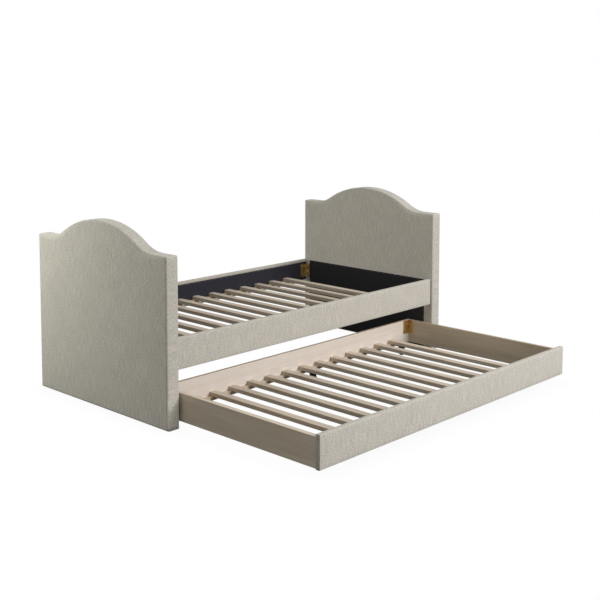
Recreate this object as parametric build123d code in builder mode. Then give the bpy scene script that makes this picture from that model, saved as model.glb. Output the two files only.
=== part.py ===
from build123d import *
import math
import os

# Upholstered camelback daybed with a rolling trundle, in millimetres, +Z up.
# X runs along the bed, and the trundle rolls out towards -Y. The origin is on the
# floor at the middle of the footprint, with the trundle pulled out.

# Whole bed
bed_length = 2116.0
end_width = 1050.0
trundle_travel = 881.0

# End panels: two alike, each a glued timber core under padded cloth
end_thickness = 73.0
shoulder_height = 824.0
crown_height = 944.0
crown_half_width = 421.0
cove_radius = 224.0
end_pad = 6.0
end_edge_radius = 9.0
end_frame_width = 70.0
end_skin = 6.0
bolt_rail_half_height = 85.0

# Glides under the end panels
glide_height = 3.0
glide_radius = 12.0
glide_side_inset = 60.0

# Dust cover on the inner face of each end panel
dust_cover_thickness = 1.0
dust_cover_top = 425.0
dust_cover_floor_gap = 5.0
dust_cover_side_gap = 23.0

# Upholstered rails and trundle front: board, padded cloth, and a lining behind
panel_height = 152.0
board_thickness = 18.0
panel_pad = 3.5
panel_cap = 4.0
lining_thickness = 2.0
return_height = 16.0
return_width = 4.0
panel_edge_radius = 4.0
rail_bottom = 278.0
front_rail_setback = 13.5
rear_rail_setback = 0.0

# Slat decks
slat_count = 13
slat_width = 42.0
slat_thickness = 21.0
slat_edge_radius = 2.0
slat_end_clearance = 1.5
first_slat_to_end = 212.2
bed_deck_above_rail = 54.0
cleat_width = 25.0
cleat_height = 18.0
cleat_overhang = 15.0
board_below_cleats = 5.5
slat_screw_cover = 3.0

# Trundle box
trundle_side_gap = 6.0
trundle_rear_inset = 1.0
front_overhang = 8.0
trundle_board_height = 136.0
board_edge_radius = 1.0

# Corner angles, pressed from steel strip
angle_thickness = 2.5
angle_bend_radius = 2.0
bed_angle_rail_leg = 66.0
bed_angle_end_leg = 22.0
bed_angle_height = 84.0
bed_angle_cleat_gap = 4.0
trundle_angle_long_leg = 54.0
trundle_angle_short_leg = 33.0
trundle_angle_height = 80.0
trundle_angle_top_gap = 1.0
hole_edge_distance = 20.0
long_leg_end_distance = 10.0

# Fasteners
screw_radius = 2.0
screw_head_radius = 4.0
screw_head_height = 2.4
countersink_angle = 90.0
angle_screw_length = 16.0
caster_screw_length = 14.0
bolt_radius = 4.0
bolt_end_cover = 14.5
bolt_head_radius = 7.5
bolt_head_height = 5.5
hole_clearance = 0.1
hole_bottom_gap = 1.0

# Casters
wheel_radius = 24.0
wheel_width = 16.0
wheel_edge_radius = 2.0
wheel_recess_radius = 18.5
wheel_recess_depth = 2.5
wheel_hub_radius = 7.0
wheel_side_gap = 0.8
wheel_top_gap = 5.5
axle_radius = 3.0
axle_clearance = 0.05
axle_head_radius = 5.0
axle_head_height = 1.4
fork_thickness = 2.0
fork_length = 60.0
fork_top_width = 38.0
fork_eye_radius = 9.0
caster_screw_edge = 5.0
caster_screw_spacing_y = 48.0
caster_inset = 106.0

# Places that several pieces share
end_inner_x = bed_length / 2 - end_thickness
bed_y = trundle_travel / 2
bed_front_y = bed_y - end_width / 2
bed_rear_y = bed_y + end_width / 2
panel_thickness = panel_pad + board_thickness + lining_thickness
front_rail_y = bed_front_y + front_rail_setback
rear_rail_y = bed_rear_y - rear_rail_setback
bed_inner_front_y = front_rail_y + panel_thickness
bed_inner_rear_y = rear_rail_y - panel_thickness
trundle_half_length = end_inner_x - trundle_side_gap
trundle_board_x = trundle_half_length - front_overhang
trundle_inner_x = trundle_board_x - board_thickness
trundle_front_y = bed_front_y - trundle_travel
trundle_rear_y = bed_rear_y - trundle_rear_inset - trundle_travel
trundle_inner_front_y = trundle_front_y + panel_thickness
trundle_inner_rear_y = trundle_rear_y - board_thickness
bed_deck_height = rail_bottom + bed_deck_above_rail
bed_cleat_top = bed_deck_height - slat_thickness
trundle_cleat_top = 2 * wheel_radius + wheel_top_gap + fork_thickness
trundle_deck_height = trundle_cleat_top + slat_thickness
trundle_bottom = trundle_cleat_top - cleat_height - board_below_cleats
slat_screw_length = slat_thickness + cleat_height - slat_screw_cover
bolt_length = angle_thickness + end_thickness - end_pad - bolt_end_cover
caster_screw_spacing_x = slat_width - 2 * caster_screw_edge
slat_pitch = 2 * (end_inner_x - first_slat_to_end) / (slat_count - 1)
slat_x = [(i - (slat_count - 1) / 2) * slat_pitch for i in range(slat_count)]
caster_x = [slat_x[0], slat_x[slat_count // 2], slat_x[-1]]
caster_y = [trundle_front_y + caster_inset, trundle_rear_y - caster_inset]
INTO = (Align.CENTER, Align.CENTER, Align.MAX)
OUT_OF = (Align.CENTER, Align.CENTER, Align.MIN)

os.makedirs("parts", exist_ok=True)


def save(piece, name):
    """Label one finished piece and write its STEP file."""
    piece.part.label = name
    export_step(piece.part, f"parts/{name}.step")


def box_between(low, high, mode=Mode.ADD):
    """A box from its lowest corner to its highest corner."""
    middle = [(a + b) / 2 for a, b in zip(low, high)]
    with Locations(tuple(middle)):
        Box(high[0] - low[0], high[1] - low[1], high[2] - low[2], mode=mode)


def drill(places, radius, length):
    """Holes for fasteners whose heads seat at the given planes."""
    with Locations(*places):
        Cylinder(radius + hole_clearance, length + hole_bottom_gap, align=INTO, mode=Mode.SUBTRACT)


# Where each fastener seats: its plane faces out of the wood, under the head
def bed_angle_corners():
    """Each rail-to-end corner of the bed: sign of X, inner rail face, way into the bed."""
    sides = [(bed_inner_front_y, 1), (bed_inner_rear_y, -1)]
    return [(sx, y, inward) for sx in (-1, 1) for y, inward in sides]


def trundle_angle_corners():
    """Each inner corner of the trundle box, in the same form."""
    sides = [(trundle_inner_front_y, 1), (trundle_inner_rear_y, -1)]
    return [(sx, y, inward) for sx in (-1, 1) for y, inward in sides]


def hole_heights(bottom, height):
    return (bottom + hole_edge_distance, bottom + height - hole_edge_distance)


def leg_holes(leg):
    """How far the two rows of screws in a long leg lie from the corner."""
    return (hole_edge_distance, leg - long_leg_end_distance)


bed_angle_bottom = bed_cleat_top + bed_angle_cleat_gap
trundle_top = trundle_bottom + trundle_board_height
trundle_angle_bottom = trundle_top - trundle_angle_top_gap - trundle_angle_height
bed_hole_z = hole_heights(bed_angle_bottom, bed_angle_height)
trundle_hole_z = hole_heights(trundle_angle_bottom, trundle_angle_height)
end_leg_hole = (bed_angle_end_leg + angle_thickness) / 2
short_leg_hole = (trundle_angle_short_leg + angle_thickness) / 2

bolt_places = []
rail_screw_places = []
for sx, y, inward in bed_angle_corners():
    for z in bed_hole_z:
        bolt_origin = (sx * (end_inner_x - angle_thickness), y + inward * end_leg_hole, z)
        bolt_places.append(Plane(origin=bolt_origin, z_dir=(-sx, 0, 0)))
        for along in leg_holes(bed_angle_rail_leg):
            screw_origin = (sx * (end_inner_x - along), y + inward * angle_thickness, z)
            rail_screw_places.append(Plane(origin=screw_origin, z_dir=(0, inward, 0)))

trundle_screw_places = []
for sx, y, inward in trundle_angle_corners():
    for z in trundle_hole_z:
        side_origin = (sx * (trundle_inner_x - angle_thickness), y + inward * short_leg_hole, z)
        trundle_screw_places.append(Plane(origin=side_origin, z_dir=(-sx, 0, 0)))
        for along in leg_holes(trundle_angle_long_leg):
            origin = (sx * (trundle_inner_x - along), y + inward * angle_thickness, z)
            trundle_screw_places.append(Plane(origin=origin, z_dir=(0, inward, 0)))

caster_screw_places = []
for x in caster_x:
    for y in caster_y:
        for dx in (-caster_screw_spacing_x / 2, caster_screw_spacing_x / 2):
            for dy in (-caster_screw_spacing_y / 2, caster_screw_spacing_y / 2):
                origin = (x + dx, y + dy, trundle_cleat_top - fork_thickness)
                caster_screw_places.append(Plane(origin=origin, z_dir=(0, 0, -1)))

bed_slat_screws = []
trundle_slat_screws = []
for x in slat_x:
    for y in (bed_inner_front_y + cleat_width / 2, bed_inner_rear_y - cleat_width / 2):
        bed_slat_screws.append((x, y, bed_deck_height))
    for y in (trundle_inner_front_y + cleat_width / 2, trundle_inner_rear_y - cleat_width / 2):
        trundle_slat_screws.append((x, y, trundle_deck_height))


# End panels
crown_rise = crown_height - shoulder_height
centre_distance = (crown_half_width**2 + crown_rise**2) / (2 * crown_rise)
crown_radius = centre_distance - cove_radius
arc_turn = math.asin(crown_half_width / centre_distance)


def camelback(inset, x_low, thickness):
    """A slab of the camelback outline, drawn inset inside the cloth."""
    half = end_width / 2 - inset
    shoulder = shoulder_height - inset
    cove = cove_radius + inset
    crown = crown_radius - inset
    crown_centre = crown_height - crown_radius
    cove_centre = shoulder_height + cove_radius
    join = (crown * math.sin(arc_turn), crown_centre + crown * math.cos(arc_turn))
    half_turn = arc_turn / 2
    cove_middle = (
        crown_half_width - cove * math.sin(half_turn),
        cove_centre - cove * math.cos(half_turn),
    )
    with BuildPart() as slab:
        with BuildSketch(Plane.YZ.offset(x_low)) as outline:
            with BuildLine():
                Polyline(
                    (-crown_half_width, shoulder),
                    (-half, shoulder),
                    (-half, glide_height),
                    (half, glide_height),
                    (half, shoulder),
                    (crown_half_width, shoulder),
                )
                for side in (-1, 1):
                    ThreePointArc(
                        (side * crown_half_width, shoulder),
                        (side * cove_middle[0], cove_middle[1]),
                        (side * join[0], join[1]),
                    )
                ThreePointArc((-join[0], join[1]), (0, crown_centre + crown), join)
            make_face()
        extrude(amount=thickness)
    return slab


def build_end(name, sx):
    """Core, cloth cover and dust cover of the end panel on the sx side."""
    x_low = min(sx * end_inner_x, sx * bed_length / 2)
    core_depth = end_thickness - 2 * end_pad
    core_middle = sx * (bed_length - end_thickness) / 2
    cavity_half_x = core_depth / 2 - end_skin
    cavity_half_y = end_width / 2 - end_pad - end_frame_width
    rail_middle = rail_bottom + panel_height / 2
    low_cavity = (glide_height + end_frame_width, rail_middle - bolt_rail_half_height)
    high_cavity = (rail_middle + bolt_rail_half_height, shoulder_height - end_pad - end_frame_width)

    plain_core = camelback(end_pad, x_low + end_pad, core_depth)
    with BuildPart() as core:
        add(plain_core.part.moved(Location((0, bed_y, 0))))
        for bottom, top in (low_cavity, high_cavity):
            box_between(
                (core_middle - cavity_half_x, bed_y - cavity_half_y, bottom),
                (core_middle + cavity_half_x, bed_y + cavity_half_y, top),
                mode=Mode.SUBTRACT,
            )
        drill(bolt_places, bolt_radius, bolt_length)
    save(core, f"{name}_end_core")

    plain_cover = camelback(0, x_low, end_thickness)
    with BuildPart() as cover:
        add(plain_cover.part.moved(Location((0, bed_y, 0))))
        faces = cover.faces().filter_by(Axis.X)
        fillet(faces.edges().filter_by(lambda e: e.center().Z > glide_height), end_edge_radius)
        add(plain_core.part.moved(Location((0, bed_y, 0))), mode=Mode.SUBTRACT)
        drill(bolt_places, bolt_radius, bolt_length)
    save(cover, f"{name}_end_upholstery")

    cover_x = sorted((sx * end_inner_x, sx * (end_inner_x - dust_cover_thickness)))
    with BuildPart() as dust_cover:
        box_between(
            (cover_x[0], bed_inner_front_y + dust_cover_side_gap, glide_height + dust_cover_floor_gap),
            (cover_x[1], bed_inner_rear_y - dust_cover_side_gap, dust_cover_top),
        )
    save(dust_cover, f"{name}_end_dust_cover")


build_end("left", -1)
build_end("right", 1)

glide_x = (bed_length - end_thickness) / 2
glide_y = end_width / 2 - glide_side_inset
with BuildPart() as glides:
    with Locations(*[(sx * glide_x, bed_y + sy * glide_y, 0) for sx in (-1, 1) for sy in (-1, 1)]):
        Cylinder(glide_radius, glide_height, align=OUT_OF)
save(glides, "floor_glides")


# Upholstered rails and trundle front
def build_panel(name, half_length, outer_y, inward, bottom, holes):
    """Board, cloth cover and lining of one padded panel that faces away from inward."""
    board_y = outer_y + inward * panel_pad
    back_y = board_y + inward * board_thickness
    inner_y = back_y + inward * lining_thickness
    top = bottom + panel_height
    with BuildPart() as board:
        box_between(
            (panel_cap - half_length, min(board_y, back_y), bottom + panel_cap),
            (half_length - panel_cap, max(board_y, back_y), top - panel_cap),
        )
        drill(holes, screw_radius, angle_screw_length)
    with BuildPart() as lining:
        box_between(
            (return_width - half_length, min(back_y, inner_y), bottom + return_height),
            (half_length - return_width, max(back_y, inner_y), top - return_height),
        )
        drill(holes, screw_radius, angle_screw_length)
    with BuildPart() as cover:
        box_between(
            (-half_length, min(outer_y, inner_y), bottom),
            (half_length, max(outer_y, inner_y), top),
        )
        outer_face = cover.faces().filter_by(Axis.Y).sort_by(Axis.Y)[0 if inward > 0 else -1]
        fillet(outer_face.edges(), panel_edge_radius)
        box_between(
            (panel_cap - half_length, min(board_y, back_y), bottom + panel_cap),
            (half_length - panel_cap, max(board_y, back_y), top - panel_cap),
            mode=Mode.SUBTRACT,
        )
        box_between(
            (return_width - half_length, min(back_y, inner_y), bottom + return_height),
            (half_length - return_width, max(back_y, inner_y), top - return_height),
            mode=Mode.SUBTRACT,
        )
        drill(holes, screw_radius, angle_screw_length)
    save(board, f"{name}_board")
    save(lining, f"{name}_lining")
    save(cover, f"{name}_upholstery")


build_panel("front_rail", end_inner_x, front_rail_y, 1, rail_bottom, rail_screw_places)
build_panel("rear_rail", end_inner_x, rear_rail_y, -1, rail_bottom, rail_screw_places)
build_panel(
    "trundle_front", trundle_half_length, trundle_front_y, 1, trundle_bottom, trundle_screw_places
)


# Wooden sides and back of the trundle
def build_board(name, low, high):
    """A plain board with eased edges, drilled for the corner angles."""
    with BuildPart() as board:
        box_between(low, high)
        fillet(board.faces().sort_by(Axis.Z)[-1].edges(), board_edge_radius)
        drill(trundle_screw_places, screw_radius, angle_screw_length)
    save(board, name)


for name, sx in (("trundle_left_board", -1), ("trundle_right_board", 1)):
    x_span = sorted((sx * trundle_inner_x, sx * trundle_board_x))
    build_board(
        name,
        (x_span[0], trundle_inner_front_y, trundle_bottom),
        (x_span[1], trundle_rear_y, trundle_top),
    )
build_board(
    "trundle_rear_board",
    (-trundle_inner_x, trundle_inner_rear_y, trundle_bottom),
    (trundle_inner_x, trundle_rear_y, trundle_top),
)


# Cleats and slats of both decks
def build_deck(prefix, front_y, rear_y, deck_height, screw_points, under_holes):
    """A pair of cleats, and the slats that lie on them between two inner faces."""
    cleat_top = deck_height - slat_thickness
    cleat_half = slat_x[-1] + slat_width / 2 + cleat_overhang
    with BuildPart() as cleats:
        for low_y in (front_y, rear_y - cleat_width):
            box_between(
                (-cleat_half, low_y, cleat_top - cleat_height),
                (cleat_half, low_y + cleat_width, cleat_top),
            )
        with Locations(*screw_points):
            Cylinder(
                screw_radius + hole_clearance,
                slat_screw_length + hole_bottom_gap,
                align=INTO,
                mode=Mode.SUBTRACT,
            )
    save(cleats, f"{prefix}_slat_cleats")

    for number, x in enumerate(slat_x, start=1):
        with BuildPart() as slat:
            box_between(
                (x - slat_width / 2, front_y + slat_end_clearance, cleat_top),
                (x + slat_width / 2, rear_y - slat_end_clearance, deck_height),
            )
            fillet(slat.edges().filter_by(Axis.Y), slat_edge_radius)
            with Locations(*[point for point in screw_points if point[0] == x]):
                CounterSinkHole(
                    screw_radius + hole_clearance,
                    screw_head_radius + hole_clearance,
                    counter_sink_angle=countersink_angle,
                )
            if x in caster_x and under_holes:
                drill(under_holes, screw_radius, caster_screw_length)
        save(slat, f"{prefix}_slat_{number:02d}")


build_deck(
    "bed",
    bed_inner_front_y,
    bed_inner_rear_y,
    bed_deck_height,
    bed_slat_screws,
    [],
)
build_deck(
    "trundle",
    trundle_inner_front_y,
    trundle_inner_rear_y,
    trundle_deck_height,
    trundle_slat_screws,
    caster_screw_places,
)


# Corner angles
def build_angles(name, corners, corner_x, leg_x, leg_y, bottom, height, holes):
    """One folded steel angle in each corner, its long way up."""
    with BuildPart() as angles:
        for sx, y, inward in corners:
            x = sx * corner_x
            with BuildSketch(Plane.XY.offset(bottom)) as section:
                with Locations((x - sx * leg_x / 2, y + inward * angle_thickness / 2)):
                    Rectangle(leg_x, angle_thickness)
                with Locations((x - sx * angle_thickness / 2, y + inward * leg_y / 2)):
                    Rectangle(angle_thickness, leg_y)
                bend = (x - sx * angle_thickness, y + inward * angle_thickness, bottom)
                inner_vertex = section.vertices().sort_by_distance(bend)[0]
                fillet(inner_vertex, angle_bend_radius)
                outer_vertex = section.vertices().sort_by_distance((x, y, bottom))[0]
                fillet(outer_vertex, angle_bend_radius + angle_thickness)
            extrude(amount=height)
        for radius, length, places in holes:
            drill(places, radius, length)
    save(angles, name)


build_angles(
    "bed_corner_angles",
    bed_angle_corners(),
    end_inner_x,
    bed_angle_rail_leg,
    bed_angle_end_leg,
    bed_angle_bottom,
    bed_angle_height,
    [
        (bolt_radius, bolt_length, bolt_places),
        (screw_radius, angle_screw_length, rail_screw_places),
    ],
)
build_angles(
    "trundle_corner_angles",
    trundle_angle_corners(),
    trundle_inner_x,
    trundle_angle_long_leg,
    trundle_angle_short_leg,
    trundle_angle_bottom,
    trundle_angle_height,
    [(screw_radius, angle_screw_length, trundle_screw_places)],
)


# Fasteners
def pan_screws(places, length):
    """Round-headed screws, heads on the seating planes."""
    with Locations(*places):
        Cylinder(screw_radius, length, align=INTO)
        Cylinder(screw_head_radius, screw_head_height, align=OUT_OF)


def slat_screws(points):
    """Flush countersunk screws down through the slats."""
    head_height = (screw_head_radius - screw_radius) / math.tan(math.radians(countersink_angle / 2))
    with Locations(*points):
        Cylinder(screw_radius, slat_screw_length, align=INTO)
        Cone(screw_radius, screw_head_radius, head_height, align=INTO)


with BuildPart() as bed_bolts:
    with Locations(*bolt_places):
        Cylinder(bolt_radius, bolt_length, align=INTO)
    for plane in bolt_places:
        with BuildSketch(plane):
            RegularPolygon(bolt_head_radius, 6)
    extrude(amount=bolt_head_height)
save(bed_bolts, "bed_bolts")

with BuildPart() as bed_screws:
    pan_screws(rail_screw_places, angle_screw_length)
    slat_screws(bed_slat_screws)
save(bed_screws, "bed_screws")

with BuildPart() as trundle_screws:
    pan_screws(trundle_screw_places, angle_screw_length)
    pan_screws(caster_screw_places, caster_screw_length)
    slat_screws(trundle_slat_screws)
save(trundle_screws, "trundle_screws")


# Casters: rigid forks under three slats, wheels that roll along Y
caster_points = [(x, y) for x in caster_x for y in caster_y]
cheek_inner = wheel_width / 2 + wheel_side_gap
cheek_outer = cheek_inner + fork_thickness
fork_top = trundle_cleat_top
with BuildPart() as forks:
    for x, y in caster_points:
        box_between(
            (x - slat_width / 2, y - fork_length / 2, fork_top - fork_thickness),
            (x + slat_width / 2, y + fork_length / 2, fork_top),
        )
        for cheek_x in (x - cheek_outer, x + cheek_inner):
            with BuildSketch(Plane.YZ.offset(cheek_x)):
                with BuildLine():
                    Polyline(
                        (y - fork_top_width / 2, fork_top - fork_thickness),
                        (y - fork_eye_radius, wheel_radius),
                        (y + fork_eye_radius, wheel_radius),
                        (y + fork_top_width / 2, fork_top - fork_thickness),
                        close=True,
                    )
                make_face()
                with Locations((y, wheel_radius)):
                    Circle(fork_eye_radius)
                    Circle(axle_radius + axle_clearance, mode=Mode.SUBTRACT)
            extrude(amount=fork_thickness)
    drill(caster_screw_places, screw_radius, caster_screw_length)
save(forks, "caster_forks")

with BuildPart() as axles:
    for x, y in caster_points:
        with Locations(Plane(origin=(x, y, wheel_radius), z_dir=(1, 0, 0))):
            Cylinder(axle_radius, 2 * (cheek_outer + axle_head_height))
        for side in (-1, 1):
            with Locations(Plane(origin=(x + side * cheek_outer, y, wheel_radius), z_dir=(side, 0, 0))):
                Cylinder(axle_head_radius, axle_head_height, align=OUT_OF)
save(axles, "caster_axles")

for number, (x, y) in enumerate(caster_points, start=1):
    centre = Plane(origin=(x, y, wheel_radius), z_dir=(1, 0, 0))
    with BuildPart() as wheel:
        with Locations(centre):
            Cylinder(wheel_radius, wheel_width)
        fillet(wheel.edges().filter_by(GeomType.CIRCLE), wheel_edge_radius)
        for side in (-1, 1):
            face = Plane(origin=(x + side * wheel_width / 2, y, wheel_radius), z_dir=(side, 0, 0))
            with Locations(face):
                Cylinder(wheel_recess_radius, wheel_recess_depth, align=INTO, mode=Mode.SUBTRACT)
        with Locations(centre):
            Cylinder(wheel_hub_radius, wheel_width)
            Cylinder(axle_radius + axle_clearance, wheel_width, mode=Mode.SUBTRACT)
    save(wheel, f"caster_wheel_{number}")
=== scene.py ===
import math

import bmesh
import bpy
import numpy as np
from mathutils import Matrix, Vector, noise


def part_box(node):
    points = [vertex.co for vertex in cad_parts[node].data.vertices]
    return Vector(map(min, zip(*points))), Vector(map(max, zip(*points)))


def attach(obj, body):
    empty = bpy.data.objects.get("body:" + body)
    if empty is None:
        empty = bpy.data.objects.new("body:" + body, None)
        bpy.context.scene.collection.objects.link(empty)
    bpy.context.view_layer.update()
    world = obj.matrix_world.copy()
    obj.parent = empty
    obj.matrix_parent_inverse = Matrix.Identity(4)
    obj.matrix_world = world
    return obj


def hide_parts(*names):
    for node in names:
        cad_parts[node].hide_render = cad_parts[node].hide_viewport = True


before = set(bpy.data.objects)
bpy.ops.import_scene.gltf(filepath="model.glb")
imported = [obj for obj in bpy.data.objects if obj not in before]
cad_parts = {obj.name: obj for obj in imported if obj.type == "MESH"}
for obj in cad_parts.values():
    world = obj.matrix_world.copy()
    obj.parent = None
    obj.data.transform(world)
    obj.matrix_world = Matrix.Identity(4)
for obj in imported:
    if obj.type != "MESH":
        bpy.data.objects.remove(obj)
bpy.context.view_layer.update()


# --- Timber cores of the end panels -----------------------------------------------
# Each end is a softwood frame with thin plywood glued to both faces. It is hidden
# under the cloth and carries the bolts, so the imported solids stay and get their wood.
streak_stretch = 60
figure_stretch = 12


def linear(code):
    """An sRGB hex colour as linear RGBA."""
    values = [int(code[i : i + 2], 16) / 255 for i in (1, 3, 5)]
    return tuple(v / 12.92 if v <= 0.04045 else ((v + 0.055) / 1.055) ** 2.4 for v in values) + (1.0,)


def add_node(tree, kind, settings=None, inputs=None):
    """Adds one node, with its properties, and its inputs as values or as sockets to link."""
    added = tree.nodes.new(kind)
    for key, value in (settings or {}).items():
        setattr(added, key, value)
    for key, value in (inputs or {}).items():
        if isinstance(value, bpy.types.NodeSocket):
            tree.links.new(value, added.inputs[key])
        else:
            added.inputs[key].default_value = value
    return added


def new_finish(name):
    """A material, with its node tree and its shader."""
    material = bpy.data.materials.new(name)
    material.use_nodes = True
    return material, material.node_tree, material.node_tree.nodes["Principled BSDF"]


def timber(name, along, pale, dark, streak, figure, roughness, piece_pitch=0.0, edge_colour=None):
    """Sawn and sanded wood. Grain runs along X or Y in streaks of the given width, in metres,
    over a broader figure. Pieces set at piece_pitch along X differ a little in tone, and
    edge_colour, where there is one, tones the faces that look up."""
    wood, tree, shader = new_finish(name)
    place = add_node(tree, "ShaderNodeTexCoord").outputs["Object"]
    layers = []
    for width, stretch, look in (
        (streak, streak_stretch, {"Detail": 4.0, "Roughness": 0.6}),
        (figure, figure_stretch, {"Detail": 2.0, "Distortion": 0.6}),
    ):
        lengthways, crossways = 1 / (width * stretch), 1 / width
        scale = [crossways, crossways, crossways]
        scale["XY".index(along)] = lengthways
        drawn_out = add_node(tree, "ShaderNodeMapping", None, {"Vector": place, "Scale": scale})
        layers.append(
            add_node(
                tree,
                "ShaderNodeTexNoise",
                None,
                {"Vector": drawn_out.outputs[0], "Scale": 1.0, **look},
            ).outputs[0]
        )
    streaks, broad = layers
    grain = add_node(
        tree,
        "ShaderNodeMix",
        {"data_type": "FLOAT"},
        {0: 0.4, 2: streaks, 3: broad},
    )
    spread = add_node(
        tree,
        "ShaderNodeMapRange",
        None,
        {"Value": grain.outputs[0], "From Min": 0.34, "From Max": 0.64},
    )
    colour = add_node(
        tree,
        "ShaderNodeMix",
        {"data_type": "RGBA"},
        {0: spread.outputs[0], 6: linear(dark), 7: linear(pale)},
    ).outputs[2]
    if piece_pitch:
        split = add_node(tree, "ShaderNodeSeparateXYZ", None, {0: place})
        number = add_node(
            tree, "ShaderNodeMath", {"operation": "DIVIDE"}, {0: split.outputs[0], 1: piece_pitch}
        )
        whole = add_node(tree, "ShaderNodeMath", {"operation": "ROUND"}, {0: number.outputs[0]})
        chance = add_node(
            tree, "ShaderNodeTexWhiteNoise", {"noise_dimensions": "1D"}, {"W": whole.outputs[0]}
        )
        tone = add_node(
            tree,
            "ShaderNodeMapRange",
            None,
            {"Value": chance.outputs[0], "To Min": 0.92, "To Max": 1.05},
        )
        colour = add_node(
            tree,
            "ShaderNodeVectorMath",
            {"operation": "SCALE"},
            {0: colour, "Scale": tone.outputs[0]},
        ).outputs[0]
    if edge_colour:
        facing = add_node(tree, "ShaderNodeNewGeometry")
        upward = add_node(tree, "ShaderNodeSeparateXYZ", None, {0: facing.outputs["True Normal"]})
        on_edge = add_node(
            tree,
            "ShaderNodeMapRange",
            None,
            {"Value": upward.outputs[2], "From Min": 0.3, "From Max": 0.8},
        )
        colour = add_node(
            tree,
            "ShaderNodeMix",
            {"data_type": "RGBA"},
            {0: on_edge.outputs[0], 6: colour, 7: linear(edge_colour)},
        ).outputs[2]
    tree.links.new(colour, shader.inputs["Base Color"])
    shine = add_node(
        tree,
        "ShaderNodeMapRange",
        None,
        {"Value": grain.outputs[0], "To Min": roughness + 0.12, "To Max": roughness - 0.12},
    )
    tree.links.new(shine.outputs[0], shader.inputs["Roughness"])
    relief = add_node(
        tree,
        "ShaderNodeBump",
        None,
        {"Strength": 0.35, "Distance": 0.0004, "Height": streaks},
    )
    tree.links.new(relief.outputs[0], shader.inputs["Normal"])
    shader.inputs["IOR"].default_value = 1.5
    return wood


def finish_nodes(material, *names):
    """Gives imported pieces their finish, in every slot that they have."""
    for name in names:
        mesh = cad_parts[name].data
        if not mesh.materials:
            mesh.materials.append(material)
        for i in range(len(mesh.materials)):
            mesh.materials[i] = material


# Radiata pine and birch plywood, planed: matt, pale yellow, streaks about 4 mm wide
core_wood = timber("planed_pine_and_plywood", "Y", "#D9BC8C", "#B98F5C", 0.004, 0.06, 0.6)
finish_nodes(core_wood, "left_end_core", "right_end_core", "front_rail_board", "rear_rail_board")
finish_nodes(core_wood, "trundle_front_board")


# --- End panel covers ---------------------------------------------------------------
# A camelback slab wrapped in thin foam and linen-look cloth: a face panel on each side,
# sewn to one boxing strip that follows the outline. The seam lies on the rounded edge.
shoulder_drop = 0.120
crown_half_width = 0.421
cove_radius = 0.224
end_edge_radius = 0.009
end_corner_radius = 0.006
end_swell = 0.0016
end_swell_run = 0.12
crown_swell_run = 0.15
crown_swell_start = 0.1
cloth_waver = 0.0005
rail_joint_top = 0.440
seam_depth = 0.0011


def camelback_rim(inset):
    """Points along the camelback's top from left to right, drawn inset inside the cloth."""
    half = end_half_width - inset
    shoulder = end_top - shoulder_drop - inset
    corner = end_corner_radius
    centre_distance = (crown_half_width**2 + shoulder_drop**2) / (2 * shoulder_drop)
    crown = centre_distance - cove_radius - inset
    cove = cove_radius + inset
    turn = math.asin(crown_half_width / centre_distance)
    crown_centre = end_top - centre_distance + cove_radius
    cove_centre = end_top - shoulder_drop + cove_radius
    points = []
    for angle in np.linspace(0, math.pi / 2, 5):
        out, up = corner * math.cos(angle), corner * math.sin(angle)
        points.append((-half + corner - out, shoulder - corner + up))
    for across in np.linspace(-half + corner, -crown_half_width, 7)[1:-1]:
        points.append((across, shoulder))
    for angle in np.linspace(0, turn, 13):
        points.append((-crown_half_width + cove * math.sin(angle), cove_centre - cove * math.cos(angle)))
    for angle in np.linspace(-turn, 0, 27)[1:]:
        points.append((crown * math.sin(angle), crown_centre + crown * math.cos(angle)))
    points += [(-across, up) for across, up in points[-2::-1]]
    return np.array(points)


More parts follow.
